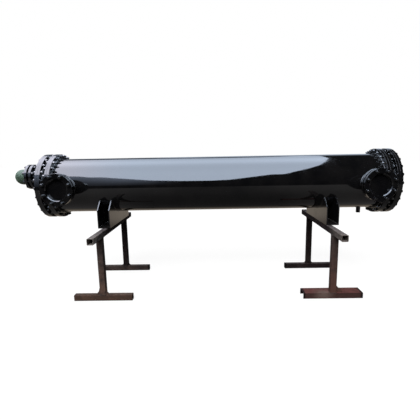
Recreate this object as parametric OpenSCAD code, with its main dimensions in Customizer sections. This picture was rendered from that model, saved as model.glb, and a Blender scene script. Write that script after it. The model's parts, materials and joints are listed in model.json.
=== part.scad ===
// Economizer: a horizontal shell-and-tube heat exchanger on two steel trestles.
// Millimetres, +Z up, ground at Z = 0. X runs along the shell and the side nozzles point to -Y.

/* [Shell] */
// Outside diameter of the shell
shell_od = 616; // [500:1:720]
// Wall of the shell
shell_wall = 8; // [6:1:12]
// Length of the shell between its tubesheets
shell_l = 3620; // [3000:10:4200]

/* [Bolted ends] */
// Height of the end flanges over the shell
flange_rise = 57; // [48:1:90]
// Distance from the end flanges' bolt circle to their rim
flange_edge = 20; // [16:1:24]
// Bolts in each row of an end
flange_bolts = 24; // [16:4:28]
// Thickness of a tubesheet
tubesheet_t = 26; // [18:1:40]
// Thickness of the channel's flange at the tubesheet
inner_flange_t = 22; // [16:1:36]
// Open length of the channel between its two flanges
channel_gap = 50; // [46:1:120]
// Thickness of the channel's flange at the cover
outer_flange_t = 24; // [16:1:36]
// Thickness of an end cover
cover_t = 28; // [20:1:45]
// Thickness of an end gasket
gasket_t = 3; // [2:0.5:5]

/* [Bolting and sealing faces] */
// Nominal diameter of every bolt
bolt_d = 20; // [16:1:22]
// Clearance of a bolt in its hole, across the diameter
bolt_clearance = 2; // [1:0.5:3]
// Margin between a sealing face and the bolt holes around it
seal_margin = 3; // [1:0.5:6]
// Height of a nozzle flange's raised sealing face
raised_face = 5; // [2:0.5:6]
// Thickness of the blanking disc between two nozzle flanges
blank_t = 12; // [6:1:16]
// Bevel at the mouth of a loose nozzle flange, for its weld
weld_bevel = 8; // [4:1:12]
// Chamfer on the rims of all flanges
rim_chamfer = 1; // [0.5:0.5:4]

/* [Side nozzles] */
// Distance of a side nozzle from its end of the shell
nozzle_inset = 155; // [130:1:300]
// Distance from the shell's surface to a side nozzle's sealing face
nozzle_reach = 175; // [120:1:300]
// Outside diameter of a side nozzle's neck
nozzle_od = 219.1; // [168.3:0.1:250]
// Wall of a side nozzle's neck
nozzle_wall = 6; // [4:0.5:12]
// Height of a side nozzle's flanges over its neck
nozzle_flange_rise = 60.45; // [50:0.05:80]
// Thickness of a side nozzle's flange behind its raised face
nozzle_flange_t = 30; // [20:1:36]

/* [End nozzle] */
// Height of the end nozzle above the shell's axis
end_nozzle_rise = 109; // [80:1:150]
// Distance from the cover to the end nozzle's sealing face
end_nozzle_reach = 185; // [150:1:260]
// Outside diameter of the end nozzle's neck
end_nozzle_od = 168.3; // [139.7:0.1:193.7]
// Wall of the end nozzle's neck
end_nozzle_wall = 7.1; // [4:0.1:11]
// Height of the end nozzle's flanges over its neck
end_flange_rise = 58.35; // [50:0.05:80]
// Thickness of an end nozzle flange behind its raised face
end_flange_t = 28; // [20:1:36]
// Distance of the pipe stub's inner end behind the counter flange's sealing face
stub_setback = 7; // [4:1:12]

/* [Nozzle flanges] */
// Bolts in each nozzle flange
nozzle_bolts = 8; // [4:4:12]
// Distance from a nozzle flange's bolt circle to its rim
nozzle_edge = 22.5; // [16:0.5:28]
// Length of the tapered hub behind a nozzle flange
hub_l = 32; // [20:1:40]
// Thickness that the hub adds to the neck at its flange
hub_rise = 8; // [4:0.5:12]

/* [Plastic cap] */
// Distance of the cap from the counter flange
cap_gap = 10; // [2:1:20]
// Wall of the cap
cap_wall = 3.5; // [2:0.5:6]
// Length of the cap's straight skirt
cap_skirt = 77.5; // [40:0.5:100]
// Height of the cap's dome
cap_rise = 80; // [40:1:82]
// Height that a small flat takes off the tip of the dome
cap_flat = 0.5; // [0.2:0.1:2]
// Distance of the pipe stub's outer end from the foot of the dome
cap_clearance = 5; // [2:1:20]

/* [Drain] */
// Distance of the drain nipple from the right end of the shell
drain_inset = 146; // [60:1:400]
// Outside diameter of the drain nipple
drain_od = 48.3; // [26.9:0.1:60.3]
// Wall of the drain nipple
drain_wall = 3.7; // [2:0.1:6]
// Length of the drain nipple below the shell
drain_l = 65; // [40:1:120]

/* [Saddles] */
// Distance of a saddle from its end of the shell
saddle_inset = 577; // [400:1:900]
// Height of a saddle from its stand to the shell's axis
saddle_h = 439; // [400:1:520]
// Width of a saddle over its two plates, along the shell
saddle_w = 134; // [100:1:160]
// Depth of a saddle across the shell
saddle_depth = 780; // [700:1:900]
// Thickness of a saddle's upright plates and web
saddle_plate_t = 10; // [6:1:14]
// Thickness of a saddle's base plate
saddle_base_t = 10; // [6:1:20]
// Distance from the shell's axis down to the top of a saddle's upright end
saddle_drop = 242; // [200:1:300]
// Angle from the bottom of the shell to the tip of a saddle's horn
horn_angle = 63; // [50:1:70]
// Width of a horn's blunt tip
horn_tip = 12; // [6:1:20]

/* [Stands] */
// Height of the stands
stand_h = 742; // [500:1:1000]
// Distance that the left stand's rail lies inward of its saddle's middle
left_rail_shift = 5; // [0:1:50]
// Distance that the right stand's rail lies inward of its saddle's middle
right_rail_shift = 33; // [0:1:50]
// Distance that the stands sit forward of the shell's axis
stand_forward = 100; // [0:1:150]
// Width of the square tubes
tube_w = 65; // [50:1:80]
// Wall of the square tubes
tube_wall = 4; // [3:0.5:6]
// Length of a rail
rail_l = 1465; // [1300:5:1700]
// Distance between the middles of a stand's two legs
leg_spacing = 926; // [800:1:1100]
// Length of a foot
foot_l = 620; // [400:5:800]
// Width of the channel section used as the right stand's front foot
channel_foot_w = 140; // [100:1:180]
// Height of that channel section
channel_foot_h = 60; // [45:1:80]
// Web thickness of that channel section
channel_web_t = 7; // [5:0.5:9]
// Flange thickness of that channel section
channel_flange_t = 10; // [6:0.5:12]
// Radius of that channel section's inner corners
channel_root_r = 10; // [4:0.5:14]
// Side of the large gussets, at the bases of the front legs
large_gusset = 72; // [50:1:100]
// Side of the small gussets, at the bases of the back legs
small_gusset = 36; // [20:1:60]
// Width of a gusset's blunt tips
gusset_tip = 5; // [3:0.5:10]
// Thickness of a gusset
gusset_t = 6; // [4:1:10]

/* [Hidden] */
// Radial clearance of pieces that fit into or around each other
fit = 0.3;
// Overshoot of cutting tools
cut = 1;
$fn = 96;

shell_id = shell_od - 2 * shell_wall;
axis_h = stand_h + saddle_h;
bolt_hole = bolt_d + bolt_clearance;
flange_od = shell_od + 2 * flange_rise;
flange_pcd = flange_od - 2 * flange_edge;

// Places along the shell, from its middle
nozzle_x = shell_l / 2 - nozzle_inset;
drain_x = shell_l / 2 - drain_inset;
saddle_x = shell_l / 2 - saddle_inset;

// A side nozzle's flanges, with its sealing face at a distance from the shell's axis
nozzle_face = shell_od / 2 + nozzle_reach;
nozzle_flange_od = nozzle_od + 2 * nozzle_flange_rise;
nozzle_pcd = nozzle_flange_od - 2 * nozzle_edge;
end_flange_od = end_nozzle_od + 2 * end_flange_rise;
end_pcd = end_flange_od - 2 * nozzle_edge;

// Distances from the middle of the shell along the stack of one end
gasket_a_x = shell_l / 2 + tubesheet_t;
channel_x = gasket_a_x + gasket_t;
channel_l = inner_flange_t + channel_gap + outer_flange_t;
gasket_b_x = channel_x + channel_l;
cover_x = gasket_b_x + gasket_t;
end_x = cover_x + cover_t;

// Distances from the cover along the end nozzle
end_counter_z = end_nozzle_reach + blank_t;
end_counter_back = end_counter_z + raised_face + end_flange_t;
cap_id = end_nozzle_od + 2 * fit;
cap_od = cap_id + 2 * cap_wall;
cap_z = end_counter_back + cap_gap;
cap_tip = cap_z + cap_skirt + cap_rise - cap_flat;
stub_z = end_counter_z + stub_setback;
stub_end = cap_z + cap_skirt - cap_clearance;

saddle_seat = stand_h + saddle_base_t;
rail_bottom = stand_h - tube_w;
tube_radius = 2 * tube_wall;

// The origin lies on the ground under the middle of the part's box
shift = [cap_tip / 2, stand_forward, 0];

left = -1;
right = 1;
front = -1;
back = 1;

paint = [0.07, 0.07, 0.08];
steel_brown = [0.25, 0.19, 0.17];
red_brown = [0.31, 0.18, 0.16];
cap_green = [0.37, 0.53, 0.41];
gasket_grey = [0.3, 0.3, 0.29];

// Diameter of the sealing face inside a bolt circle
function seal_d(pcd) = pcd - bolt_hole - 2 * seal_margin;

// Distance of a stand from the middle of the shell, with its sign
function stand_x(side) = side < 0 ? left_rail_shift - saddle_x : saddle_x - right_rail_shift;

// Height of a foot: the right stand's front foot is a channel section
function foot_h(side, row) = side > 0 && row < 0 ? channel_foot_h : tube_w;

// Moves the vessel's frame, with X and Y from the middle of the shell, to the part's own frame
module placed() {
    translate(shift) children();
}

// Repeats the right end's geometry on the given side of the shell
module on_side(side) {
    if (side < 0) {
        mirror([1, 0, 0]) children();
    } else {
        children();
    }
}

// Turns what is drawn along Z to run outward along X, at a height above the shell's axis
module along_shell(x, rise = 0) {
    translate([x, 0, axis_h + rise]) rotate([0, 90, 0]) children();
}

// Turns what is drawn along Z to point forward from the shell's axis
module forward(x) {
    translate([x, 0, axis_h]) rotate([90, 0, 0]) children();
}

// Space of the shell with extra radius, for cutting what meets it
module shell_space(d) {
    along_shell(-end_x) cylinder(d = d, h = 2 * end_x);
}

module ring(d_out, d_in, t, chamfer = 0) {
    rotate_extrude() polygon([
        [d_in / 2, 0],
        [d_out / 2 - chamfer, 0],
        [d_out / 2, chamfer],
        [d_out / 2, t - chamfer],
        [d_out / 2 - chamfer, t],
        [d_in / 2, t]
    ]);
}

// Drills a bolt circle through what lies between Z = 0 and the given thickness
module bolt_circle(pcd, count, t, turn) {
    for (i = [0 : count - 1]) {
        rotate(turn + i * 360 / count)
            translate([pcd / 2, 0, -cut])
            cylinder(d = bolt_hole, h = t + 2 * cut);
    }
}

// Holes straddle the upright in the inner row; the outer row is turned by half a pitch
module inner_row(t) {
    bolt_circle(flange_pcd, flange_bolts, t, 180 / flange_bolts);
}

module outer_row(t) {
    bolt_circle(flange_pcd, flange_bolts, t, 0);
}

module nozzle_row(pcd, t) {
    bolt_circle(pcd, nozzle_bolts, t, 180 / nozzle_bolts);
}

// Neck, tapered hub and flange in one, from a root height to its sealing face
module weld_neck(od, wall, root, face, flange_od, flange_t, pcd) {
    flange_back = face - raised_face - flange_t;
    difference() {
        union() {
            rotate_extrude() polygon([
                [od / 2 - wall, root],
                [od / 2, root],
                [od / 2, flange_back - hub_l],
                [od / 2 + hub_rise, flange_back],
                [od / 2 + hub_rise, flange_back + flange_t / 2],
                [od / 2 - wall, flange_back + flange_t / 2]
            ]);
            translate([0, 0, flange_back]) ring(flange_od, od - 2 * wall, flange_t, rim_chamfer);
            translate([0, 0, flange_back]) ring(seal_d(pcd), od - 2 * wall, flange_t + raised_face);
        }
        translate([0, 0, flange_back]) nozzle_row(pcd, flange_t);
    }
}

// Loose flange whose raised face looks down at Z = 0 and whose bore opens in a weld bevel at the top
module mating_flange(flange_od, pipe_od, flange_t, pcd) {
    bore_r = pipe_od / 2 + fit;
    top = raised_face + flange_t;
    difference() {
        rotate_extrude() polygon([
            [bore_r, 0],
            [seal_d(pcd) / 2, 0],
            [seal_d(pcd) / 2, raised_face],
            [flange_od / 2 - rim_chamfer, raised_face],
            [flange_od / 2, raised_face + rim_chamfer],
            [flange_od / 2, top - rim_chamfer],
            [flange_od / 2 - rim_chamfer, top],
            [bore_r + weld_bevel, top],
            [bore_r, top - weld_bevel]
        ]);
        translate([0, 0, raised_face]) nozzle_row(pcd, flange_t);
    }
}

module shell() {
    color(paint) placed() difference() {
        along_shell(-shell_l / 2) ring(shell_od, shell_id, shell_l);
        for (side = [left, right]) {
            forward(side * nozzle_x) cylinder(d = nozzle_od + 2 * fit, h = shell_od);
        }
        translate([drain_x, 0, axis_h - shell_od]) cylinder(d = drain_od + 2 * fit, h = shell_od);
    }
}

module drain_nipple() {
    drain_end = axis_h - shell_od / 2 - drain_l;
    color(paint) placed() difference() {
        translate([drain_x, 0, drain_end])
            ring(drain_od, drain_od - 2 * drain_wall, axis_h - drain_end);
        shell_space(shell_id);
    }
}

module tubesheet(side) {
    color(paint) placed() on_side(side) along_shell(shell_l / 2) difference() {
        ring(flange_od, 0, tubesheet_t, rim_chamfer);
        inner_row(tubesheet_t);
    }
}

// Gasket sheet that covers a flange's whole face inside its rim chamfer
module end_gasket() {
    ring(flange_od - 2 * rim_chamfer, shell_id, gasket_t);
}

module tubesheet_gasket(side) {
    color(gasket_grey) placed() on_side(side) along_shell(gasket_a_x) difference() {
        end_gasket();
        inner_row(gasket_t);
    }
}

module cover_gasket(side) {
    color(gasket_grey) placed() on_side(side) along_shell(gasket_b_x) difference() {
        end_gasket();
        outer_row(gasket_t);
    }
}

module channel(side) {
    color(paint) placed() on_side(side) along_shell(channel_x) difference() {
        union() {
            ring(shell_od, shell_id, channel_l);
            ring(flange_od, shell_id, inner_flange_t, rim_chamfer);
            translate([0, 0, channel_l - outer_flange_t])
                ring(flange_od, shell_id, outer_flange_t, rim_chamfer);
        }
        inner_row(inner_flange_t);
        translate([0, 0, channel_l - outer_flange_t]) outer_row(outer_flange_t);
    }
}

module cover(side) {
    color(paint) placed() on_side(side) difference() {
        along_shell(cover_x) difference() {
            ring(flange_od, 0, cover_t, rim_chamfer);
            outer_row(cover_t);
        }
        if (side < 0) {
            along_shell(cover_x - cut, end_nozzle_rise)
                cylinder(d = end_nozzle_od + 2 * fit, h = cover_t + 2 * cut);
        }
    }
}

module side_nozzle(side) {
    root = sqrt(pow(shell_id / 2, 2) - pow(nozzle_od / 2, 2)) - cut;
    color(paint) placed() difference() {
        forward(side * nozzle_x)
            weld_neck(
                nozzle_od, nozzle_wall, root, nozzle_face,
                nozzle_flange_od, nozzle_flange_t, nozzle_pcd
            );
        shell_space(shell_id);
    }
}

module side_blanking_disc(side) {
    color(paint) placed() forward(side * nozzle_x)
        translate([0, 0, nozzle_face]) ring(seal_d(nozzle_pcd), 0, blank_t);
}

module side_counter_flange(side) {
    color(paint) placed() forward(side * nozzle_x)
        translate([0, 0, nozzle_face + blank_t])
        mating_flange(nozzle_flange_od, nozzle_od, nozzle_flange_t, nozzle_pcd);
}

// The end nozzle's pieces stand on the left cover, at heights measured from its outer face
module on_left_cover() {
    on_side(left) along_shell(end_x, end_nozzle_rise) children();
}

module end_nozzle() {
    color(paint) placed() on_left_cover()
        weld_neck(
            end_nozzle_od, end_nozzle_wall, -cover_t, end_nozzle_reach,
            end_flange_od, end_flange_t, end_pcd
        );
}

module end_blanking_disc() {
    color(paint) placed() on_left_cover()
        translate([0, 0, end_nozzle_reach]) ring(seal_d(end_pcd), 0, blank_t);
}

module end_counter_flange() {
    color(paint) placed() on_left_cover()
        translate([0, 0, end_counter_z])
        mating_flange(end_flange_od, end_nozzle_od, end_flange_t, end_pcd);
}

module end_stub() {
    color(paint) placed() on_left_cover()
        translate([0, 0, stub_z])
        ring(end_nozzle_od, end_nozzle_od - 2 * end_nozzle_wall, stub_end - stub_z);
}

// Half section of a domed plug with a flat tip, from a given foot
module plug_section(d, foot, rise) {
    radius = (pow(d / 2, 2) + pow(rise, 2)) / (2 * rise);
    middle = cap_skirt + rise - radius;
    intersection() {
        translate([0, foot]) square([d / 2, cap_skirt + rise - cap_flat - foot]);
        union() {
            translate([0, middle]) circle(radius);
            translate([0, foot]) square([d / 2, middle - foot]);
        }
    }
}

module end_cap() {
    color(cap_green) placed() on_left_cover() translate([0, 0, cap_z]) rotate_extrude() difference() {
        plug_section(cap_od, 0, cap_rise);
        plug_section(cap_id, -cut, cap_rise - cap_wall);
    }
}

// Outline of a saddle plate, drawn across the shell with the shell's axis at zero
module saddle_outline() {
    half = saddle_depth / 2;
    tip = shell_od / 2 + horn_tip;
    tip_y = tip * sin(horn_angle);
    tip_z = -tip * cos(horn_angle);
    difference() {
        polygon([
            [-half, saddle_seat - axis_h],
            [half, saddle_seat - axis_h],
            [half, -saddle_drop],
            [tip_y, tip_z],
            [0, 0],
            [-tip_y, tip_z],
            [-half, -saddle_drop]
        ]);
        circle(d = shell_od + 2 * fit);
    }
}

// The given edge is the plate's face nearer the middle of the shell
module saddle_plate(side, edge) {
    color(paint) placed() on_side(side)
        translate([edge, 0, axis_h]) rotate([90, 0, 90])
        linear_extrude(saddle_plate_t) saddle_outline();
}

module saddle_inner_plate(side) {
    saddle_plate(side, saddle_x - saddle_w / 2);
}

module saddle_outer_plate(side) {
    saddle_plate(side, saddle_x + saddle_w / 2 - saddle_plate_t);
}

module saddle_base(side) {
    color(paint) placed() on_side(side)
        translate([saddle_x - saddle_w / 2, -saddle_depth / 2, stand_h])
        cube([saddle_w, saddle_depth, saddle_base_t]);
}

// Upright plate under the shell that ties the two saddle plates together
module saddle_web(side) {
    web_l = saddle_w - 2 * saddle_plate_t;
    color(paint) placed() on_side(side) difference() {
        translate([saddle_x - web_l / 2, -saddle_plate_t / 2, saddle_seat])
            cube([web_l, saddle_plate_t, axis_h - saddle_seat]);
        shell_space(shell_od + 2 * fit);
    }
}

module rounded_square(w, r) {
    square([w, w - 2 * r], center = true);
    square([w - 2 * r, w], center = true);
    for (x = [-1, 1], y = [-1, 1]) {
        translate([x * (w / 2 - r), y * (w / 2 - r)]) circle(r);
    }
}

// Hollow square section with rounded corners, drawn along Z
module square_tube(l) {
    linear_extrude(l) difference() {
        rounded_square(tube_w, tube_radius);
        rounded_square(tube_w - 2 * tube_wall, tube_radius - tube_wall);
    }
}

// Middle line of a stand, on the ground
module at_stand(side) {
    translate([stand_x(side), -stand_forward, 0]) children();
}

module rail(side) {
    color(steel_brown) placed() at_stand(side)
        translate([0, rail_l / 2, stand_h - tube_w / 2]) rotate([90, 0, 0]) square_tube(rail_l);
}

module leg(side, row) {
    bottom = foot_h(side, row);
    color(steel_brown) placed() at_stand(side)
        translate([0, row * leg_spacing / 2, bottom]) square_tube(rail_bottom - bottom);
}

module tube_foot(side, row) {
    color(steel_brown) placed() at_stand(side)
        translate([-foot_l / 2, row * leg_spacing / 2, tube_w / 2]) rotate([0, 90, 0]) square_tube(foot_l);
}

// Space between the flanges of the rolled channel section, with its inner corners rounded
module channel_inside() {
    inner_w = channel_foot_w - 2 * channel_flange_t;
    inner_h = channel_foot_h - channel_web_t;
    straight_w = inner_w - 2 * channel_root_r;
    translate([channel_flange_t, -cut]) square([inner_w, inner_h - channel_root_r + cut]);
    translate([channel_flange_t + channel_root_r, -cut]) square([straight_w, inner_h + cut]);
    for (x = [channel_root_r, inner_w - channel_root_r]) {
        translate([channel_flange_t + x, inner_h - channel_root_r]) circle(channel_root_r);
    }
}

// Channel section lying with its web on top and its front edge under the leg's front face
module channel_foot(side, row) {
    color(red_brown) placed() at_stand(side)
        translate([-foot_l / 2, row * leg_spacing / 2 - tube_w / 2, 0]) rotate([90, 0, 90])
        linear_extrude(foot_l) difference() {
            square([channel_foot_w, channel_foot_h]);
            channel_inside();
        }
}

// Outline of a gusset with a hollowed slope, standing in the corner at zero
module hollow_gusset(side_l) {
    difference() {
        square(side_l);
        translate([side_l, side_l]) circle(side_l - gusset_tip);
    }
}

// Outline of a gusset with a straight slope
module straight_gusset(side_l) {
    polygon([[0, 0], [side_l, 0], [side_l, gusset_tip], [gusset_tip, side_l], [0, side_l]]);
}

// Stands what is drawn with X outward and Y up at one side of a leg's base, a distance off its middle
module at_leg_base(side, row, way, depth = 0) {
    color(steel_brown) placed() at_stand(side)
        translate([way * tube_w / 2, row * leg_spacing / 2 + depth + gusset_t / 2, foot_h(side, row)])
        rotate([90, 0, 0])
        linear_extrude(gusset_t)
        mirror([way < 0 ? 1 : 0, 0])
        children();
}

module left_gussets() {
    flat_edge = tube_w / 2 - tube_radius - gusset_t / 2;
    for (way = [-1, 1]) {
        at_leg_base(left, front, way, -flat_edge) hollow_gusset(large_gusset);
        at_leg_base(left, back, way) hollow_gusset(small_gusset);
    }
}

// The front leg on its channel section has a gusset on the outer side only
module right_gussets() {
    at_leg_base(right, front, 1) straight_gusset(large_gusset);
    for (way = [-1, 1]) {
        at_leg_base(right, back, way) hollow_gusset(small_gusset);
    }
}

shell();
drain_nipple();
tubesheet(left);  // left_tubesheet
tubesheet_gasket(left);  // left_tubesheet_gasket
channel(left);  // left_channel
cover_gasket(left);  // left_cover_gasket
cover(left);  // left_cover
tubesheet(right);  // right_tubesheet
tubesheet_gasket(right);  // right_tubesheet_gasket
channel(right);  // right_channel
cover_gasket(right);  // right_cover_gasket
cover(right);  // right_cover
side_nozzle(left);  // left_nozzle
side_blanking_disc(left);  // left_blanking_disc
side_counter_flange(left);  // left_counter_flange
side_nozzle(right);  // right_nozzle
side_blanking_disc(right);  // right_blanking_disc
side_counter_flange(right);  // right_counter_flange
end_nozzle();
end_blanking_disc();
end_counter_flange();
end_stub();
end_cap();
saddle_base(left);  // left_saddle_base
saddle_inner_plate(left);  // left_saddle_inner_plate
saddle_outer_plate(left);  // left_saddle_outer_plate
saddle_web(left);  // left_saddle_web
saddle_base(right);  // right_saddle_base
saddle_inner_plate(right);  // right_saddle_inner_plate
saddle_outer_plate(right);  // right_saddle_outer_plate
saddle_web(right);  // right_saddle_web
rail(left);  // left_rail
leg(left, front);  // left_front_leg
leg(left, back);  // left_back_leg
tube_foot(left, front);  // left_front_foot
tube_foot(left, back);  // left_back_foot
left_gussets();
rail(right);  // right_rail
leg(right, front);  // right_front_leg
leg(right, back);  // right_back_leg
channel_foot(right, front);  // right_front_foot
tube_foot(right, back);  // right_back_foot
right_gussets();
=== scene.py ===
import json
import math
import random

import bpy
from mathutils import Matrix, Vector


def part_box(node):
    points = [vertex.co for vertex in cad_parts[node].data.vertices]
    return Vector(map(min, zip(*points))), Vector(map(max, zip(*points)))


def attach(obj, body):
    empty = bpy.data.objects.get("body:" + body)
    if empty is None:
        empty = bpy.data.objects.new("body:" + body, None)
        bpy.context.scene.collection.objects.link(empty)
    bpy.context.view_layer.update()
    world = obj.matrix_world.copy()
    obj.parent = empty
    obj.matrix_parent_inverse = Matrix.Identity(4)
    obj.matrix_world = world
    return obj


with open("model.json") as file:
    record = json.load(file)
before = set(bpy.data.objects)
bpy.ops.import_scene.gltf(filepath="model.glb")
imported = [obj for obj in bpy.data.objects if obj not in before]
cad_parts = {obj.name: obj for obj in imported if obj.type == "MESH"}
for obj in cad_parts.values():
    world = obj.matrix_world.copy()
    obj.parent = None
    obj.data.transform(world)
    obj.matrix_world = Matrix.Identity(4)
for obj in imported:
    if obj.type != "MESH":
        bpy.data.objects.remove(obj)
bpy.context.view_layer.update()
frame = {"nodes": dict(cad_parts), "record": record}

TURN = 2 * math.pi
MM = 0.001
BLACK_SLOT = "gloss_black_paint"
BROWN_SLOT = "rusty_brown_steel"
ENDS = (("left", -1), ("right", 1))

# The shell's axis and radius, in the part's own frame
shell_low, shell_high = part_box("shell")
AXIS = (shell_low + shell_high) / 2
SHELL_R = (shell_high.z - shell_low.z) / 2

# Camera, fitted to the outline of the object in the photograph; metres and radians
IMAGE_SIDE = 420
FOCAL_PIXELS = 331.0
SENSOR = 36.0
CAMERA_AT = Vector((AXIS.x - 0.0235, AXIS.y - 3.8837, 1.5288))
CAMERA_YAW = 0.0163
CAMERA_PITCH = 0.1702
CAMERA_ROLL = 0.0182

# Sizes repeated from the part's source, in metres
INNER_FLANGE = 22 * MM
OUTER_FLANGE = 24 * MM
END_PCD_R = 345 * MM
END_BOLTS = 24
NOZZLE_R = 109.55 * MM
NOZZLE_PCD_R = 147.5 * MM
NOZZLE_FLANGE = 30 * MM
END_NOZZLE_R = 84.15 * MM
END_NOZZLE_PCD_R = 120 * MM
END_NOZZLE_FLANGE = 28 * MM
NOZZLE_BOLTS = 8
RAISED_FACE = 5 * MM
HUB_L = 32 * MM
HORN_ANGLE = math.radians(63)
SADDLE_DEPTH = 780 * MM
TUBE_W = 65 * MM
TUBE_RADIUS = 8 * MM
FOOT_HALF = 310 * MM
DRAIN_R = 24.15 * MM

# Bolting: M20 with 30 mm hexagons, and crowned stud ends
BOLT_R = 10 * MM
THREAD_ROOT_R = 9.1 * MM
THREAD_PITCH = 2.5 * MM
THREAD_RUN_OUT = 1.5 * MM
STUD_CHAMFER = 1.6 * MM
HEX_WIDTH = 30 * MM
HEX_CHAMFER_R = 14.2 * MM
HEX_CHAMFER_SLOPE = math.tan(math.radians(30))
NUT_H = 18 * MM
NUT_COUNTERSINK = 0.7 * MM
HEAD_H = 12.5 * MM
HEAD_FACE = 0.5 * MM
HEAD_CROWN = 0.3 * MM
HEAD_CROWN_W = 3 * MM
WASHER_R = 18.5 * MM
WASHER_T = 3 * MM
WASHER_EDGE = 0.4 * MM
RING_SEGMENTS = 24
SHANK_SEGMENTS = 16

# Rings of a stud's crown: radius as a share of the bolt's, and height over the end of the thread
STUD_CROWN = ((0.6, 1.2 * MM), (0.2, 1.8 * MM))

# How far studs reach beyond their nuts, from and to, in millimetres
LONG_STUD = (13, 18)
SHORT_STUD = (4, 7)
NOZZLE_STUD = (5, 8)
END_NOZZLE_STUD = (9, 13)

# Weld beads: steps along the path, and the radius of each kind of bead
WELD_STEP = 3 * MM
WELD_RIPPLE = 9 * MM
WELD_RIPPLE_DEPTH = 0.10
WELD_UNEVENNESS = 0.04
WELD_SIDES = 8
FEWEST_WELD_STEPS = 8
FLANGE_BEAD = 6 * MM
NOZZLE_BEAD = 7 * MM
HUB_BEAD = 2.5 * MM
HORN_BEAD = 5 * MM
SADDLE_FOOT_BEAD = 6 * MM
SLIP_ON_BEAD = 8 * MM
SLIP_ON_OFFSET = 4 * MM
DRAIN_BEAD = 4 * MM
STAND_BEAD = 3.5 * MM

# Least angle of an edge that is shaded sharp, in degrees
SHARP_EDGE = 32
SHARP_BEAD = 80

DRAW = random.Random(7)


def new_object(name, data):
    made = bpy.data.objects.new(name, data)
    bpy.context.scene.collection.objects.link(made)
    return made


def add_camera():
    data = bpy.data.cameras.new("camera")
    data.sensor_width = SENSOR
    data.lens = SENSOR * FOCAL_PIXELS / IMAGE_SIDE
    data.dof.use_dof = False
    camera = new_object("camera", data)
    camera.matrix_world = (
        Matrix.Translation(CAMERA_AT)
        @ Matrix.Rotation(CAMERA_YAW, 4, "Z")
        @ Matrix.Rotation(math.pi / 2 - CAMERA_PITCH, 4, "X")
        @ Matrix.Rotation(-CAMERA_ROLL, 4, "Z")
    )
    bpy.context.scene.camera = camera


class Nodes:
    """A material's or world's node tree, with short calls to add and join nodes."""

    def __init__(self, owner):
        owner.use_nodes = True
        self.tree = owner.node_tree

    def add(self, kind, values=(), **settings):
        node = self.tree.nodes.new(kind)
        for name, value in settings.items():
            setattr(node, name, value)
        for socket, value in dict(values).items():
            self.set(node, socket, value)
        return node

    def set(self, node, socket, value):
        if isinstance(value, bpy.types.NodeSocket):
            self.tree.links.new(value, node.inputs[socket])
        else:
            node.inputs[socket].default_value = value

    def noise(self, coords, scale, detail=4.0, roughness=0.55):
        values = {"Vector": coords, "Scale": scale, "Detail": detail, "Roughness": roughness}
        return self.add("ShaderNodeTexNoise", values).outputs["Fac"]

    def ramp(self, fac, low, high, to_low=0.0, to_high=1.0):
        values = {"Value": fac, "From Min": low, "From Max": high, "To Min": to_low, "To Max": to_high}
        return self.add("ShaderNodeMapRange", values, interpolation_type="SMOOTHSTEP").outputs["Result"]

    def math(self, operation, a, b, clamp=False):
        return self.add("ShaderNodeMath", {0: a, 1: b}, operation=operation, use_clamp=clamp).outputs[0]

    def mix(self, fac, a, b):
        node = self.add("ShaderNodeMix", data_type="RGBA")
        self.set(node, "Factor", fac)
        colors = [socket for socket in node.inputs if socket.type == "RGBA"]
        for socket, value in zip(colors, (a, b)):
            if isinstance(value, bpy.types.NodeSocket):
                self.tree.links.new(value, socket)
            else:
                socket.default_value = (*value, 1)
        return next(socket for socket in node.outputs if socket.type == "RGBA")

    def bump(self, height, strength, distance, normal=None):
        values = {"Height": height, "Strength": strength, "Distance": distance}
        if normal:
            values["Normal"] = normal
        return self.add("ShaderNodeBump", values).outputs["Normal"]

    def axis(self, vector, letter):
        return self.add("ShaderNodeSeparateXYZ", {0: vector}).outputs[letter]


def new_material(name):
    material = bpy.data.materials.new(name)
    nodes = Nodes(material)
    shader = nodes.tree.nodes["Principled BSDF"]
    place = nodes.add("ShaderNodeTexCoord").outputs["Object"]
    return material, nodes, shader, place


def upward(nodes, low, high):
    """Factor that rises where a surface faces up."""
    normal = nodes.add("ShaderNodeNewGeometry").outputs["Normal"]
    return nodes.ramp(nodes.axis(normal, "Z"), low, high)


def near(nodes, place, point, reach):
    """Factor that falls from one at a point to zero at a distance from it."""
    gap = nodes.add("ShaderNodeVectorMath", {0: place, 1: point}, operation="DISTANCE").outputs["Value"]
    return nodes.ramp(gap, 0.0, reach, 1.0, 0.0)


# Black paint: its two tints, and the dust on it
BLACK_TINTS = ((0.0035, 0.0036, 0.0042), (0.0062, 0.0060, 0.0064))
BLACK_DUST = (0.16, 0.15, 0.14)
DUST_ROUGHNESS = 0.5


def black_paint(name, gloss, peel, dust, shine=0.5):
    """Black paint; gloss bounds its roughness, peel is how uneven it is and shine how much it reflects."""
    material, nodes, shader, place = new_material(name)
    flow = nodes.noise(place, scale=5.0, detail=5.0)
    fine = nodes.noise(place, scale=260.0, detail=2.0)
    specks = nodes.noise(place, scale=48.0, detail=8.0, roughness=0.7)
    settled = nodes.math("MULTIPLY", upward(nodes, 0.35, 0.95), nodes.ramp(specks, 0.42, 0.72))
    dusty = nodes.math("MULTIPLY", settled, dust)
    tint = nodes.mix(nodes.ramp(flow, 0.35, 0.65), *BLACK_TINTS)
    nodes.set(shader, "Base Color", nodes.mix(dusty, tint, BLACK_DUST))
    shader.inputs["Specular IOR Level"].default_value = shine
    clean = nodes.ramp(flow, 0.3, 0.7, *gloss)
    dulled = nodes.math("MULTIPLY", dusty, DUST_ROUGHNESS)
    nodes.set(shader, "Roughness", nodes.math("ADD", clean, dulled, clamp=True))
    waves = nodes.noise(place, scale=16.0, detail=2.0)
    wavy = nodes.bump(waves, strength=peel, distance=1.2 * MM)
    nodes.set(shader, "Normal", nodes.bump(fine, strength=peel, distance=0.2 * MM, normal=wavy))
    return material


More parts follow.
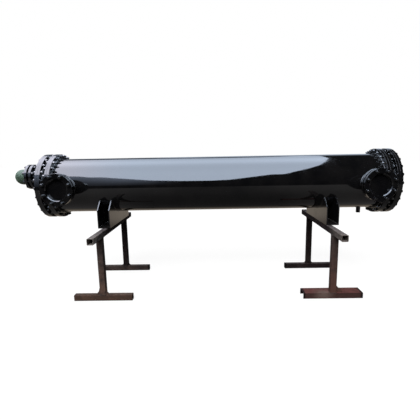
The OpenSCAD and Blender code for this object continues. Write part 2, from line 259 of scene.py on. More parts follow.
# Worn paint of the stands: dark, warm, pale dust and rust
BROWN = ((0.034, 0.026, 0.024), (0.060, 0.044, 0.039), (0.15, 0.13, 0.13), (0.085, 0.044, 0.030))
# SHADED_BROWN is BROWN made darker: painted shade for the back legs, the right back foot and the rails under
# the shell
SHADED_BROWN = ((0.012, 0.009, 0.0088), (0.021, 0.015, 0.0145), (0.18, 0.16, 0.16), (0.032, 0.017, 0.013))
WARM_BROWN = ((0.056, 0.035, 0.027), (0.081, 0.047, 0.035), (0.15, 0.115, 0.10), (0.105, 0.052, 0.031))
RED = ((0.072, 0.027, 0.024), (0.105, 0.038, 0.034), (0.14, 0.085, 0.078), (0.10, 0.036, 0.025))
# Darker red for the red foot's upright faces: painted shade
RED_SHADED_SIDES = (0.048, 0.026, 0.023)
SMEAR_BROWN = (0.125, 0.088, 0.076)
SMEAR_WARM = (0.105, 0.064, 0.049)
SMEAR_RED = (0.082, 0.040, 0.032)
# Pale colors for the rails' front ends: painted light where the rails stand out of the shell's shade
LEFT_RAIL_LIGHT = (0.25, 0.225, 0.21)
RIGHT_RAIL_LIGHT = (0.16, 0.135, 0.12)
WORN_SHINE = 0.04

# How far smears and the painted light on the rails' front ends reach, in metres
WARM_REACH = 0.55
RED_REACH = 0.60
BROWN_REACH = 0.15
RAIL_LIGHT_REACH = 0.45
LEFT_OF_LEG = Vector((-0.10, 0, 0))

# Painted shade at the ends of feet: its color, how ragged it is, and where it starts and is full, from the
# foot's end outwards
END_SHADE = (0.006, 0.005, 0.005)
END_SHADE_RAGGED = 30 * MM
END_SHADE_FROM = -15 * MM
END_SHADE_FULL = 5 * MM


def brown_steel(name, colors, dust=0.55, color_patch=None, shaded_sides=None, ends=None):
    """Worn paint; color_patch is a color, a point and its reach: a smear of paint on most parts, and painted
    light on the rails' front ends;
    shaded_sides is the color of upright faces, painted shade, and ends the middle along X of a foot whose
    ends get painted shade."""
    material, nodes, shader, place = new_material(name)
    dark, warm, pale, rust = colors
    patches = nodes.noise(place, scale=9.0, detail=7.0, roughness=0.62)
    grain = nodes.noise(place, scale=85.0, detail=6.0, roughness=0.7)
    flakes = nodes.noise(place, scale=30.0, detail=9.0, roughness=0.72)
    settled = nodes.math("MULTIPLY", upward(nodes, 0.4, 0.95), nodes.ramp(flakes, 0.36, 0.62))
    color = nodes.mix(nodes.ramp(patches, 0.38, 0.62), dark, warm)
    # Painted shade: upright faces take a darker color
    if shaded_sides:
        color = nodes.mix(upward(nodes, 0.3, 0.8), shaded_sides, color)
    if color_patch:
        patch_color, point, reach = color_patch
        broken = nodes.ramp(patches, 0.25, 0.55)
        patched = nodes.math("MULTIPLY", near(nodes, place, point, reach), broken)
        color = nodes.mix(patched, color, patch_color)
    color = nodes.mix(nodes.ramp(grain, 0.52, 0.74, 0.0, 0.75), color, rust)
    color = nodes.mix(nodes.math("MULTIPLY", settled, dust), color, pale)
    # Painted shade: the ends of a foot painted dark
    if ends is not None:
        along_foot = nodes.math("SUBTRACT", nodes.axis(place, "X"), ends)
        away = nodes.math("ABSOLUTE", along_foot, 0.0)
        away = nodes.math("ADD", away, nodes.math("MULTIPLY", flakes, END_SHADE_RAGGED))
        shaded_ends = nodes.ramp(away, FOOT_HALF + END_SHADE_FROM, FOOT_HALF + END_SHADE_FULL, 0.0, 0.9)
        color = nodes.mix(shaded_ends, color, END_SHADE)
    nodes.set(shader, "Base Color", color)
    shader.inputs["Specular IOR Level"].default_value = WORN_SHINE
    nodes.set(shader, "Roughness", nodes.ramp(flakes, 0.3, 0.7, 0.75, 0.95))
    flaky = nodes.bump(flakes, strength=0.25, distance=1.5 * MM)
    nodes.set(shader, "Normal", nodes.bump(grain, strength=0.2, distance=0.6 * MM, normal=flaky))
    return material


# Green plastic and gasket sheet: their two tints, and the plastic's dust and shine
GREEN_TINTS = ((0.034, 0.060, 0.038), (0.046, 0.078, 0.050))
GREEN_DUST = (0.12, 0.14, 0.12)
GREEN_DUSTINESS = 0.2
GREEN_SHINE = 0.3
GASKET_TINTS = ((0.004, 0.004, 0.0045), (0.016, 0.015, 0.014))


def green_plastic(name):
    material, nodes, shader, place = new_material(name)
    cloud = nodes.noise(place, scale=14.0, detail=4.0)
    grain = nodes.noise(place, scale=300.0, detail=2.0)
    specks = nodes.noise(place, scale=24.0, detail=5.0, roughness=0.6)
    settled = nodes.math("MULTIPLY", upward(nodes, 0.1, 0.9), specks)
    tint = nodes.mix(nodes.ramp(cloud, 0.3, 0.7), *GREEN_TINTS)
    dusty = nodes.math("MULTIPLY", settled, GREEN_DUSTINESS)
    nodes.set(shader, "Base Color", nodes.mix(dusty, tint, GREEN_DUST))
    shader.inputs["Specular IOR Level"].default_value = GREEN_SHINE
    nodes.set(shader, "Roughness", nodes.ramp(cloud, 0.3, 0.7, 0.5, 0.62))
    nodes.set(shader, "Normal", nodes.bump(grain, strength=0.05, distance=0.2 * MM))
    return material


def gasket_sheet(name):
    """Fibre sheet whose rim the vessel's paint has run over."""
    material, nodes, shader, place = new_material(name)
    fibre = nodes.noise(place, scale=180.0, detail=6.0, roughness=0.7)
    nodes.set(shader, "Base Color", nodes.mix(nodes.ramp(fibre, 0.35, 0.7), *GASKET_TINTS))
    nodes.set(shader, "Roughness", nodes.ramp(fibre, 0.3, 0.7, 0.10, 0.22))
    nodes.set(shader, "Normal", nodes.bump(fibre, strength=0.06, distance=0.3 * MM))
    return material


def middle_of(node):
    low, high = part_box(node)
    return (low + high) / 2


SHELL_BLACK = black_paint("gloss_black_paint", gloss=(0.035, 0.075), peel=0.02, dust=0.006)
FLANGE_BLACK = black_paint("flange_black_paint", gloss=(0.05, 0.10), peel=0.04, dust=0.03)
BRUSHED_BLACK = black_paint("brushed_black_paint", gloss=(0.10, 0.20), peel=0.12, dust=0.14)
DULL_BLACK = black_paint("dull_black_paint", gloss=(0.05, 0.10), peel=0.04, dust=0.01, shine=0.25)
SHINY_BLACK = black_paint("shiny_black_paint", gloss=(0.03, 0.06), peel=0.02, dust=0.01, shine=0.9)
# Weld paint at the saddles' feet, dusted pale on its upper side: dust, and a painted highlight for the light
# line that the joint catches
DUST_AND_HIGHLIGHT_WELD = black_paint("dust_and_highlight_weld", gloss=(0.25, 0.40), peel=0.12, dust=0.95)
BROWN_STEEL = brown_steel("rusty_brown_steel", BROWN)


def vessel_finish(node):
    """The vessel's black: brushed saddles, dull flanges at the right end, shiny side nozzles."""
    if node == "shell":
        return SHELL_BLACK
    if "saddle" in node:
        return BRUSHED_BLACK
    if node in ("right_tubesheet", "right_channel", "right_cover"):
        return DULL_BLACK
    if node in ("left_nozzle", "right_nozzle"):
        return SHINY_BLACK
    return FLANGE_BLACK


def left_stand_finishes():
    """The front foot, which is warmer, and the leg above it, with some of its color low down."""
    foot = middle_of("left_front_foot")
    leg = brown_steel("left_front_leg_steel", BROWN, color_patch=(SMEAR_WARM, foot, WARM_REACH))
    return {
        "left_front_foot": brown_steel("left_front_foot_steel", WARM_BROWN, dust=0.3),
        "left_front_leg": leg,
        "left_gussets": leg,
    }


def right_stand_finishes():
    """The red front foot, with the leg's brown paint smeared over it, and its red on the leg above."""
    foot = middle_of("right_front_foot")
    foot_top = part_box("right_front_foot")[1].z
    leg_base = Vector((foot.x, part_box("right_front_leg")[0].y, foot_top))
    color_patch = (SMEAR_BROWN, leg_base + LEFT_OF_LEG, BROWN_REACH)
    reddened = brown_steel("reddened_brown_steel", BROWN, color_patch=(SMEAR_RED, leg_base, RED_REACH))
    return {
        "right_front_foot": brown_steel(
            "red_brown_steel", RED, dust=0.08, color_patch=color_patch, shaded_sides=RED_SHADED_SIDES, ends=foot.x
        ),
        "right_front_leg": reddened,
        "right_gussets": reddened,
    }


def back_and_rail_finishes():
    """Legs at the back and the right back foot painted darker as painted shade, feet at the back with painted
    shade at their ends, and rails painted darker as painted shade, with painted light on their front ends.
    """
    finishes = {}
    # Painted shade: the back legs in the darker copy of the brown
    shaded_steel = brown_steel("shaded_brown_steel", SHADED_BROWN)
    stands = (("left", BROWN, LEFT_RAIL_LIGHT), ("right", SHADED_BROWN, RIGHT_RAIL_LIGHT))
    for side, foot_colors, rail_light in stands:
        foot, rail = f"{side}_back_foot", f"{side}_rail"
        shaded_ends = brown_steel(f"{foot}_steel", foot_colors, dust=0.3, ends=middle_of(foot).x)
        front_end = middle_of(rail)
        front_end.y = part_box(rail)[0].y
        finishes[f"{side}_back_leg"] = shaded_steel
        finishes[foot] = shaded_ends
        # Painted light on the rail's front end
        lit_front_end = (rail_light, front_end, RAIL_LIGHT_REACH)
        finishes[rail] = brown_steel(f"{rail}_steel", SHADED_BROWN, dust=0.7, color_patch=lit_front_end)
    return finishes


def finish_nodes():
    other_finishes = {
        **left_stand_finishes(),
        **right_stand_finishes(),
        **back_and_rail_finishes(),
        "end_cap": green_plastic("green_plastic"),
    }
    gasket = gasket_sheet("gasket_sheet")
    for part in frame["record"]["subparts"]:
        node, slot = part["node"], part["material_slot"]
        if slot == BLACK_SLOT:
            finish = vessel_finish(node)
        elif slot == "gasket_sheet":
            finish = gasket
        else:
            finish = other_finishes[node]
        materials = frame["nodes"][node].data.materials
        materials.clear()
        materials.append(finish)


class Shape:
    """Vertices and faces of one piece, gathered from closed parts."""

    def __init__(self):
        self.points = []
        self.faces = []

    def rings(self, rings, matrix=Matrix(), closed=False):
        """Skins rings of equal count; the ends are capped unless the rings close on themselves."""
        base = len(self.points)
        count = len(rings[0])
        faces = []
        last = len(rings) if closed else len(rings) - 1
        for row in range(last):
            a, b = row * count, (row + 1) % len(rings) * count
            for i in range(count):
                j = (i + 1) % count
                faces.append((a + i, a + j, b + j, b + i))
        if not closed:
            faces.append(tuple(range(count - 1, -1, -1)))
            faces.append(tuple(range((len(rings) - 1) * count, len(rings) * count)))
        self.points += [matrix @ Vector(point) for ring in rings for point in ring]
        self.faces += [[base + index for index in face] for face in faces]

    def piece(self, name, material, slot, sharp_degrees):
        mesh = bpy.data.meshes.new(name)
        mesh.from_pydata([tuple(point) for point in self.points], [], self.faces)
        mesh.validate()
        mesh.polygons.foreach_set("use_smooth", [True] * len(mesh.polygons))
        mesh.set_sharp_from_angle(angle=math.radians(sharp_degrees))
        mesh.materials.append(material)
        piece = new_object(name, mesh)
        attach(piece, "root")


def circle(radius, z, count=RING_SEGMENTS):
    angles = [TURN * i / count for i in range(count)]
    return [(radius * math.cos(angle), radius * math.sin(angle), z) for angle in angles]


def hexagon(base, away):
    """Ring on the sides of a hexagon whose edge bends towards the base at its corners."""
    sector = TURN / 6
    ring = []
    for i in range(RING_SEGMENTS):
        angle = TURN * i / RING_SEGMENTS
        radius = HEX_WIDTH / 2 / math.cos((angle + sector / 2) % sector - sector / 2)
        z = base + away * (radius - HEX_CHAMFER_R) * HEX_CHAMFER_SLOPE
        ring.append((radius * math.cos(angle), radius * math.sin(angle), z))
    return ring


def washer():
    rim_top = WASHER_T - WASHER_EDGE
    return [circle(WASHER_R, 0), circle(WASHER_R, rim_top), circle(WASHER_R - WASHER_EDGE, WASHER_T)]


def nut_end(stud_range):
    """Washer, chamfered nut and a threaded end that reaches beyond it, standing on a face at zero."""
    low, top = WASHER_T, WASHER_T + NUT_H
    end = top + DRAW.uniform(*stud_range) * MM
    rings = washer() + [
        circle(HEX_CHAMFER_R, low), hexagon(low, 1), hexagon(top, -1), circle(HEX_CHAMFER_R, top),
        circle(BOLT_R + NUT_COUNTERSINK, top), circle(BOLT_R, top - NUT_COUNTERSINK),
    ]
    z = top - NUT_COUNTERSINK
    while z + THREAD_PITCH < end - THREAD_RUN_OUT:
        rings.append(circle(THREAD_ROOT_R, z + THREAD_PITCH / 2))
        rings.append(circle(BOLT_R, z + THREAD_PITCH))
        z += THREAD_PITCH
    rings.append(circle(BOLT_R - STUD_CHAMFER, end))
    rings += [circle(share * BOLT_R, end + rise) for share, rise in STUD_CROWN]
    return rings


def head_end():
    """Chamfered bolt head with its washer face, standing on a face at zero."""
    return [
        circle(HEX_CHAMFER_R, 0), circle(HEX_CHAMFER_R, HEAD_FACE),
        hexagon(HEAD_FACE, 0), hexagon(HEAD_H, -1),
        circle(HEX_CHAMFER_R, HEAD_H), circle(HEX_CHAMFER_R - HEAD_CROWN_W, HEAD_H + HEAD_CROWN),
    ]


def facing(point, direction, spin):
    """Frame at a point with its Z along the direction, turned about it."""
    turn = Vector((0, 0, 1)).rotation_difference(Vector(direction)).to_matrix().to_4x4()
    return Matrix.Translation(point) @ turn @ Matrix.Rotation(spin, 4, "Z")


def add_bolt(shape, start, end, start_rings, end_rings):
    """A bolt through a stack from its face at start to its face at end, with a nut or head on each."""
    direction = (end - start).normalized()
    shape.rings(start_rings, facing(start, -direction, DRAW.uniform(0, TURN)))
    shape.rings(end_rings, facing(end, direction, DRAW.uniform(0, TURN)))
    length = (end - start).length
    shank = [circle(BOLT_R, 0, SHANK_SEGMENTS), circle(BOLT_R, length, SHANK_SEGMENTS)]
    shape.rings(shank, facing(start, direction, 0))


def on_x_circle(x, radius, angle, rise=0.0):
    """Point on a circle about an axis along X, at an angle from straight down."""
    return Vector((x, AXIS.y + radius * math.sin(angle), AXIS.z + rise - radius * math.cos(angle)))


def flange_faces(side, way):
    """X of the faces under the nuts at one end of the shell: tubesheet, channel's two flanges, cover."""
    inner, outer = (0, 1) if way > 0 else (1, 0)
    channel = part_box(f"{side}_channel")
    return (
        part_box(f"{side}_tubesheet")[inner].x,
        channel[inner].x + way * INNER_FLANGE,
        channel[outer].x - way * OUTER_FLANGE,
        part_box(f"{side}_cover")[outer].x,
    )


def add_end_bolts(side, way):
    """Two rows of bolts at one end of the shell; way is the outward sign of X."""
    tubesheet, inner_flange, outer_flange, cover = flange_faces(side, way)
    inner_row, outer_row = Shape(), Shape()
    for i in range(END_BOLTS):
        angle = TURN * (i + 0.5) / END_BOLTS
        start, end = (on_x_circle(x, END_PCD_R, angle) for x in (tubesheet, inner_flange))
        add_bolt(inner_row, start, end, nut_end(LONG_STUD), nut_end(SHORT_STUD))
        angle = TURN * i / END_BOLTS
        start, end = (on_x_circle(x, END_PCD_R, angle) for x in (outer_flange, cover))
        add_bolt(outer_row, start, end, nut_end(SHORT_STUD), head_end())
    inner_row.piece(f"{side}_tubesheet_bolts", SHINY_BLACK, BLACK_SLOT, SHARP_EDGE)
    outer_row.piece(f"{side}_cover_bolts", SHINY_BLACK, BLACK_SLOT, SHARP_EDGE)


def nozzle_flange_back(side):
    """Y of the back of a side nozzle's flange."""
    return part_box(f"{side}_blanking_disc")[1].y + RAISED_FACE + NOZZLE_FLANGE


def add_side_nozzle_bolts(side):
    x = middle_of(f"{side}_counter_flange").x
    front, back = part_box(f"{side}_counter_flange")[0].y, nozzle_flange_back(side)
    shape = Shape()
    for i in range(NOZZLE_BOLTS):
        angle = TURN * (i + 0.5) / NOZZLE_BOLTS
        offset = Vector((NOZZLE_PCD_R * math.cos(angle), 0, NOZZLE_PCD_R * math.sin(angle)))
        start, end = (Vector((x, y, AXIS.z)) + offset for y in (front, back))
        add_bolt(shape, start, end, nut_end(NOZZLE_STUD), head_end())
    shape.piece(f"{side}_nozzle_bolts", FLANGE_BLACK, BLACK_SLOT, SHARP_EDGE)


def end_nozzle_rise():
    return middle_of("end_counter_flange").z - AXIS.z


def end_flange_back():
    """X of the back of the end nozzle's flange."""
    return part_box("end_blanking_disc")[1].x + RAISED_FACE + END_NOZZLE_FLANGE


def add_end_nozzle_bolts():
    outside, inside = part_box("end_counter_flange")[0].x, end_flange_back()
    rise = end_nozzle_rise()
    shape = Shape()
    for i in range(NOZZLE_BOLTS):
        angle = TURN * (i + 0.5) / NOZZLE_BOLTS
        start, end = (on_x_circle(x, END_NOZZLE_PCD_R, angle, rise) for x in (outside, inside))
        add_bolt(shape, start, end, nut_end(END_NOZZLE_STUD), nut_end(SHORT_STUD))
    shape.piece("end_nozzle_bolts", FLANGE_BLACK, BLACK_SLOT, SHARP_EDGE)


def resample(path, closed):
    """Points at equal steps along a path."""
    points = [Vector(point) for point in path]
    if closed:
        points.append(points[0])
    lengths = [0.0]
    for a, b in zip(points, points[1:]):
        lengths.append(lengths[-1] + (b - a).length)
    steps = max(FEWEST_WELD_STEPS, round(lengths[-1] / WELD_STEP))
    line, k = [], 0
    for i in range(steps if closed else steps + 1):
        at = lengths[-1] * i / steps
        while k < len(lengths) - 2 and lengths[k + 1] < at:
            k += 1
        part = (at - lengths[k]) / (lengths[k + 1] - lengths[k])
        line.append(points[k].lerp(points[k + 1], part))
    return line


def add_bead(shape, path, radius, closed=True):
    """Weld bead with ripples along a path."""
    line = resample(path, closed)
    rings = []
    side = None
    for i, point in enumerate(line):
        before = line[i - 1] if i or closed else point
        after = line[(i + 1) % len(line)] if closed or i + 1 < len(line) else point
        tangent = (after - before).normalized()
        if side is None:
            side = tangent.orthogonal().normalized()
        side = (side - side.dot(tangent) * tangent).normalized()
        across = tangent.cross(side)
        wave = WELD_RIPPLE_DEPTH * math.cos(TURN * i * WELD_STEP / WELD_RIPPLE)
        swell = radius * (1 + wave + DRAW.uniform(-WELD_UNEVENNESS, WELD_UNEVENNESS))
        angles = [TURN * j / WELD_SIDES for j in range(WELD_SIDES)]
        rings.append([point + swell * (math.cos(a) * side + math.sin(a) * across) for a in angles])
    shape.rings(rings, closed=closed)


def x_ring(x, radius, rise=0.0, count=180):
    return [on_x_circle(x, radius, TURN * i / count, rise) for i in range(count)]


def weld_nozzle(shape, side, count=120):
    """Bead where a side nozzle's neck meets the shell, and one where its hub begins."""
    x = middle_of(f"{side}_counter_flange").x
    hub = nozzle_flange_back(side) + HUB_L
    saddle_curve, hub_ring = [], []
    for i in range(count):
        angle = TURN * i / count
        across, z = x + NOZZLE_R * math.cos(angle), NOZZLE_R * math.sin(angle)
        saddle_curve.append((across, AXIS.y - math.sqrt(SHELL_R ** 2 - z ** 2), AXIS.z + z))
        hub_ring.append((across, hub, AXIS.z + z))
    add_bead(shape, saddle_curve, NOZZLE_BEAD)
    add_bead(shape, hub_ring, HUB_BEAD)


def weld_saddle(horns, feet, side, way, count=80):
    """Beads between a saddle's plates and the shell, and along the plates' feet."""
    for plate in ("inner", "outer"):
        low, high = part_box(f"{side}_saddle_{plate}_plate")
        outward = (plate == "outer") == (way > 0)
        face, hidden = (high.x, low.x) if outward else (low.x, high.x)
        angles = [HORN_ANGLE * (2 * i / count - 1) for i in range(count + 1)]
        add_bead(horns, [on_x_circle(face, SHELL_R, angle) for angle in angles], HORN_BEAD, closed=False)
        half = SADDLE_DEPTH / 2 - SADDLE_FOOT_BEAD
        foot = [(hidden, AXIS.y - half, low.z), (hidden, AXIS.y + half, low.z)]
        add_bead(feet, foot, SADDLE_FOOT_BEAD, closed=False)


def weld_end_nozzle(shape):
    """Beads at the left cover, at the hub and around the stub in the loose flange."""
    rise = end_nozzle_rise()
    cover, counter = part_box("left_cover")[0].x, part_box("end_counter_flange")[0].x
    add_bead(shape, x_ring(cover, END_NOZZLE_R, rise), FLANGE_BEAD)
    add_bead(shape, x_ring(end_flange_back() + HUB_L, END_NOZZLE_R, rise), HUB_BEAD)
    add_bead(shape, x_ring(counter, END_NOZZLE_R + SLIP_ON_OFFSET, rise), SLIP_ON_BEAD)


def weld_drain(shape, count=60):
    x = middle_of("drain_nipple").x
    curve = []
    for i in range(count):
        angle = TURN * i / count
        y = DRAIN_R * math.sin(angle)
        z = AXIS.z - math.sqrt(SHELL_R ** 2 - y ** 2)
        curve.append((x + DRAIN_R * math.cos(angle), AXIS.y + y, z))
    add_bead(shape, curve, DRAIN_BEAD)


def add_vessel_welds():
    ends, nozzles, horns, feet = Shape(), Shape(), Shape(), Shape()
    for side, way in ENDS:
        *welded, _ = flange_faces(side, way)
        for x in welded:
            add_bead(ends, x_ring(x, SHELL_R), FLANGE_BEAD)
        weld_nozzle(nozzles, side)
        weld_saddle(horns, feet, side, way)
    weld_end_nozzle(nozzles)
    weld_drain(nozzles)
    ends.piece("end_welds", BRUSHED_BLACK, BLACK_SLOT, SHARP_BEAD)
    nozzles.piece("nozzle_welds", BRUSHED_BLACK, BLACK_SLOT, SHARP_BEAD)
    horns.piece("saddle_welds", BRUSHED_BLACK, BLACK_SLOT, SHARP_BEAD)
    feet.piece("saddle_foot_welds", DUST_AND_HIGHLIGHT_WELD, BLACK_SLOT, SHARP_BEAD)


def tube_loop(middle_x, middle_y, z, corner_steps=5):
    """Outline of a square tube standing upright, at a height."""
    straight = TUBE_W / 2 - TUBE_RADIUS
    loop = []
    for quarter in range(4):
        turn = Matrix.Rotation(quarter * TURN / 4, 2)
        for i in range(corner_steps + 1):
            angle = TURN / 4 * i / corner_steps
            bend = TUBE_RADIUS * Vector((math.cos(angle), math.sin(angle)))
            corner = turn @ (Vector((straight, straight)) + bend)
            loop.append((middle_x + corner.x, middle_y + corner.y, z))
    return loop


def add_stand_welds():
    for side, _ in ENDS:
        shape = Shape()
        for row in ("front", "back"):
            low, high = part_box(f"{side}_{row}_leg")
            middle = (low + high) / 2
            for z in (low.z, high.z):
                add_bead(shape, tube_loop(middle.x, middle.y, z), STAND_BEAD)
        shape.piece(f"{side}_stand_welds", BROWN_STEEL, BROWN_SLOT, SHARP_BEAD)


# Studio: floor, soft light, and cards and cloths that only reflections see.
# Lengths are from the middle of the shell, and angles from the horizon in front, over the top
CANOPY_R = 5.0
STUDIO_LEFT = -9.0
SOFTBOX_RIGHT = 2.87
SOFTBOX_STRENGTH = 8.7
SOFTBOX_COLOR = (0.80, 0.935, 1.15)
SOFTBOX_LEFT_COLOR = (0.95, 0.96, 1.12)
SOFTBOX_LOW = (
    (-9.0, 46), (-3.5, 44), (-3.16, 41), (-2.65, 34), (-2.15, 27.6), (-1.65, 21), (-0.9, 16.7), (-0.15, 16),
    (0.35, 18.6), (0.85, 27.4), (1.35, 36.4), (1.85, 43.5), (2.1, 51.5), (2.36, 62), (2.62, 76),
    (2.785, 95), (2.87, 116),
)
SOFTBOX_HIGH = ((-9.0, 141), (-1.7, 141), (-0.14, 137), (1.15, 138), (2.2, 146), (2.7, 143), (2.87, 118))

# Where the left color turns into the other one, along X in the part's frame
LEFT_COLOR_FROM = -4.2
LEFT_COLOR_TO = -1.8

# Dim card below the left half of the softbox
FILL_COLOR = (0.80, 0.95, 1.26)
FILL_STRENGTH = 2.4
FILL_RIGHT = -0.6
FILL_LOW = 2
FILL_GAP = 0.5

# Dark cloth over the whole studio and across its ends
CLOTH_R = 7.0
CLOTH_HALF = 14.0
CLOTH_EDGE = -9.7

# Cloth on the floor, in front of the object and behind it
FLOOR_CLOTH_HALF = 9.0
FLOOR_CLOTH_FRONT = -7.0
FLOOR_CLOTH_SEAM = 0.3
FLOOR_CLOTH_BACK = 12.3
FLOOR_CLOTH_HEIGHT = 2 * MM
FRONT_CLOTH_COLOR = (1.0, 0.97, 0.96)
BACK_CLOTH_COLOR = (0.95, 0.82, 0.68)

# Floor and lamps
FLOOR_HALF = 40.0
FLOOR_COLOR = (0.15, 0.15, 0.15, 1)
FLOOR_WHITE = 0.88
AMBIENT = 0.09
SUN_DISTANCE = 6


def along(table, x):
    """Value of a table of points at x, with straight lines between them."""
    for (x0, y0), (x1, y1) in zip(table, table[1:]):
        if x <= x1:
            return y0 + (y1 - y0) * (x - x0) / (x1 - x0)
    return table[-1][1]


def between(low, high, part):
    return low + (high - low) * part


def smooth(value, low, high):
    part = min(max((value - low) / (high - low), 0.0), 1.0)
    return part * part * (3 - 2 * part)


def on_canopy(x, degrees, radius):
    angle = math.radians(degrees)
    return (AXIS.x + x, AXIS.y - radius * math.cos(angle), AXIS.z + radius * math.sin(angle))


def on_floor(x, y):
    return (AXIS.x + x, AXIS.y + y, FLOOR_CLOTH_HEIGHT)


def grid(columns, rows, place):
    """Points, faces and glow of a grid; place gives a point and its glow for a column and a row of 0 to 1."""
    points, glow, faces = [], [], []
    for i in range(columns + 1):
        for j in range(rows + 1):
            point, value = place(i / columns, j / rows)
            points.append(point)
            glow.append(value)
    for i in range(columns):
        for j in range(rows):
            a = i * (rows + 1) + j
            faces.append((a, a + 1, a + rows + 2, a + rows + 1))
    return points, faces, glow


def reflected_only(name, points, faces, glow, color, left_color=None):
    """A studio card whose light, times the glow of its points, only reflections see."""
    mesh = bpy.data.meshes.new(name)
    mesh.from_pydata(points, [], faces)
    mesh.attributes.new("glow", "FLOAT", "POINT").data.foreach_set("value", glow)
    material = bpy.data.materials.new(name)
    nodes = Nodes(material)
    nodes.tree.nodes.remove(nodes.tree.nodes["Principled BSDF"])
    strength = nodes.add("ShaderNodeAttribute", attribute_name="glow").outputs["Fac"]
    emission = nodes.add("ShaderNodeEmission", {"Color": (*color, 1), "Strength": strength})
    if left_color:
        x = nodes.axis(nodes.add("ShaderNodeTexCoord").outputs["Object"], "X")
        turn = nodes.ramp(x, LEFT_COLOR_FROM, LEFT_COLOR_TO)
        nodes.set(emission, "Color", nodes.mix(turn, left_color, color))
    nodes.set(nodes.tree.nodes["Material Output"], "Surface", emission.outputs[0])
    mesh.materials.append(material)
    card = new_object(name, mesh)
    for ray in ("camera", "diffuse", "transmission", "volume_scatter", "shadow"):
        setattr(card, f"visible_{ray}", False)


def softbox_point(u, v):
    """Softbox over the shell, brightest low in front, with closer columns towards its right end."""
    x = between(STUDIO_LEFT, SOFTBOX_RIGHT, 1 - (1 - u) ** 2)
    degrees = between(along(SOFTBOX_LOW, x), along(SOFTBOX_HIGH, x), v)
    front = 1.2 - 0.2 * smooth(degrees, 45, 90)
    behind = 1 - 0.72 * smooth(degrees, 96, 141)
    return on_canopy(x, degrees, CANOPY_R), SOFTBOX_STRENGTH * front * behind


def fill_point(u, v):
    """Fill card, brightest at its top and fading towards the middle."""
    x = between(STUDIO_LEFT, FILL_RIGHT, u)
    degrees = between(FILL_LOW, along(SOFTBOX_LOW, x) - FILL_GAP, v)
    upper = 0.1 + 0.9 * v ** 1.5
    leftward = 1 - smooth(x, -2.6, -0.8)
    return on_canopy(x, degrees, CANOPY_R), FILL_STRENGTH * upper * leftward


def cloth_point(u, v):
    """Dark cloth over everything, with a band of light low behind the shell, weaker on the left."""
    x = between(-CLOTH_HALF, CLOTH_HALF, u)
    degrees = between(CLOTH_EDGE, 180 - CLOTH_EDGE, v)
    band = smooth(degrees, 134, 160) * (1 - 0.85 * smooth(degrees, 164, 177))
    rightward = 0.35 + 0.65 * smooth(x, -2.2, -1.2)
    return on_canopy(x, degrees, CLOTH_R), band * rightward


def end_cloth_points(x):
    """Cloth across one end, lighter towards its top."""
    def place(u, v):
        point = on_canopy(x, between(CLOTH_EDGE, 180 - CLOTH_EDGE, v), CLOTH_R * u)
        return point, 0.1 + 0.7 * smooth(point[2], 0.8, 5.0)
    return place


def floor_glow(x):
    """Glow of the floor under the object, darkest below the middle of the shell: a painted shadow of the
    vessel, seen in reflections.
    """
    beside = 0.13 * smooth(abs(x), 0.8, 1.8)
    far = 0.40 * smooth(abs(x), 4.5, 7.0)
    return 0.10 + beside + far


def floor_cloth_point(u, v):
    """Cloth under the object, in the painted shadow of the vessel, and in front of it, where it is lighter.
    """
    x = between(-FLOOR_CLOTH_HALF, FLOOR_CLOTH_HALF, u)
    y = between(FLOOR_CLOTH_FRONT, FLOOR_CLOTH_SEAM, v)
    under = floor_glow(x)
    in_front = max(under, 0.13 + 0.21 * smooth(abs(x), 0.2, 2.4))
    return on_floor(x, y), between(in_front, under, smooth(y, -2.4, -0.6))


def back_cloth_point(u, v):
    """Cloth behind the object, with a lighter strip close to it and more light far back."""
    x = between(-FLOOR_CLOTH_HALF, FLOOR_CLOTH_HALF, u)
    y = between(FLOOR_CLOTH_SEAM, FLOOR_CLOTH_BACK, v)
    strip = 0.30 * smooth(y, 0.2, 0.9) * (1 - 0.6 * smooth(y, 1.9, 2.5))
    far_back = 0.36 * smooth(y, 2.8, 4.2)
    return on_floor(x, y), floor_glow(x) + strip + far_back


def add_studio():
    reflected_only("softbox", *grid(120, 24, softbox_point), SOFTBOX_COLOR, SOFTBOX_LEFT_COLOR)
    reflected_only("fill_card", *grid(40, 12, fill_point), FILL_COLOR)
    reflected_only("dark_cloth", *grid(56, 80, cloth_point), SOFTBOX_COLOR)
    reflected_only("floor_cloth", *grid(60, 60, floor_cloth_point), FRONT_CLOTH_COLOR)
    reflected_only("back_cloth", *grid(60, 80, back_cloth_point), BACK_CLOTH_COLOR)
    for side, way in ENDS:
        reflected_only(f"{side}_end_cloth", *grid(8, 40, end_cloth_points(way * CLOTH_HALF)), SOFTBOX_COLOR)


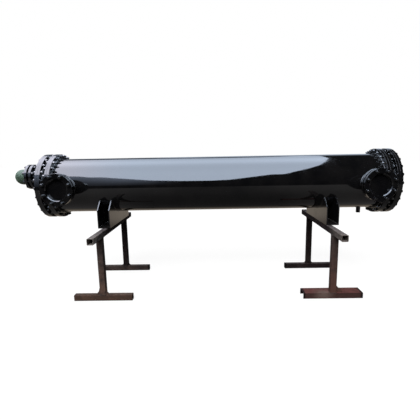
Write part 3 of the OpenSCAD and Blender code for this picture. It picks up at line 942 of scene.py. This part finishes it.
def seen_directly(nodes):
    """One for rays of the camera, of mirrors and of glass, and zero for all others."""
    path = nodes.add("ShaderNodeLightPath").outputs
    seen = nodes.math("MAXIMUM", path["Is Camera Ray"], path["Is Glossy Ray"])
    return nodes.math("MAXIMUM", seen, path["Is Transmission Ray"])


def add_floor():
    mesh = bpy.data.meshes.new("floor")
    corners = [(x * FLOOR_HALF, y * FLOOR_HALF, 0) for x, y in ((-1, -1), (1, -1), (1, 1), (-1, 1))]
    mesh.from_pydata(corners, [], [(0, 1, 2, 3)])
    material = bpy.data.materials.new("floor")
    nodes = Nodes(material)
    shader = nodes.tree.nodes["Principled BSDF"]
    shader.inputs["Base Color"].default_value = FLOOR_COLOR
    shader.inputs["Roughness"].default_value = 0.9
    shader.inputs["Specular IOR Level"].default_value = 0.0
    shader.inputs["Emission Color"].default_value = (1, 1, 1, 1)
    nodes.set(shader, "Emission Strength", nodes.math("MULTIPLY", seen_directly(nodes), FLOOR_WHITE))
    mesh.materials.append(material)
    floor = new_object("floor", mesh)


def add_sun(name, towards, energy, degrees):
    """Soft sun that lights from a direction and that reflections don't see."""
    data = bpy.data.lights.new(name, "SUN")
    data.energy = energy
    data.angle = math.radians(degrees)
    sun = new_object(name, data)
    sun.matrix_world = facing(AXIS + SUN_DISTANCE * towards, towards, 0)
    sun.visible_glossy = False


def add_light():
    world = bpy.data.worlds.new("world")
    bpy.context.scene.world = world
    nodes = Nodes(world)
    background = nodes.tree.nodes["Background"]
    background.inputs["Color"].default_value = (1, 1, 1, 1)
    nodes.set(background, "Strength", nodes.ramp(seen_directly(nodes), 0.0, 1.0, AMBIENT, 1.0))
    add_sun("key", towards=Vector((-0.26, -0.66, 0.70)), energy=3.6, degrees=40)
    add_sun("back_light", towards=Vector((0.0, 0.75, 0.66)), energy=1.5, degrees=60)


add_camera()
finish_nodes()
for end, outward_sign in ENDS:
    add_end_bolts(end, outward_sign)
    add_side_nozzle_bolts(end)
add_end_nozzle_bolts()
add_vessel_welds()
add_stand_welds()
add_floor()
add_studio()
add_light()
bpy.context.scene.view_settings.view_transform = "Standard"
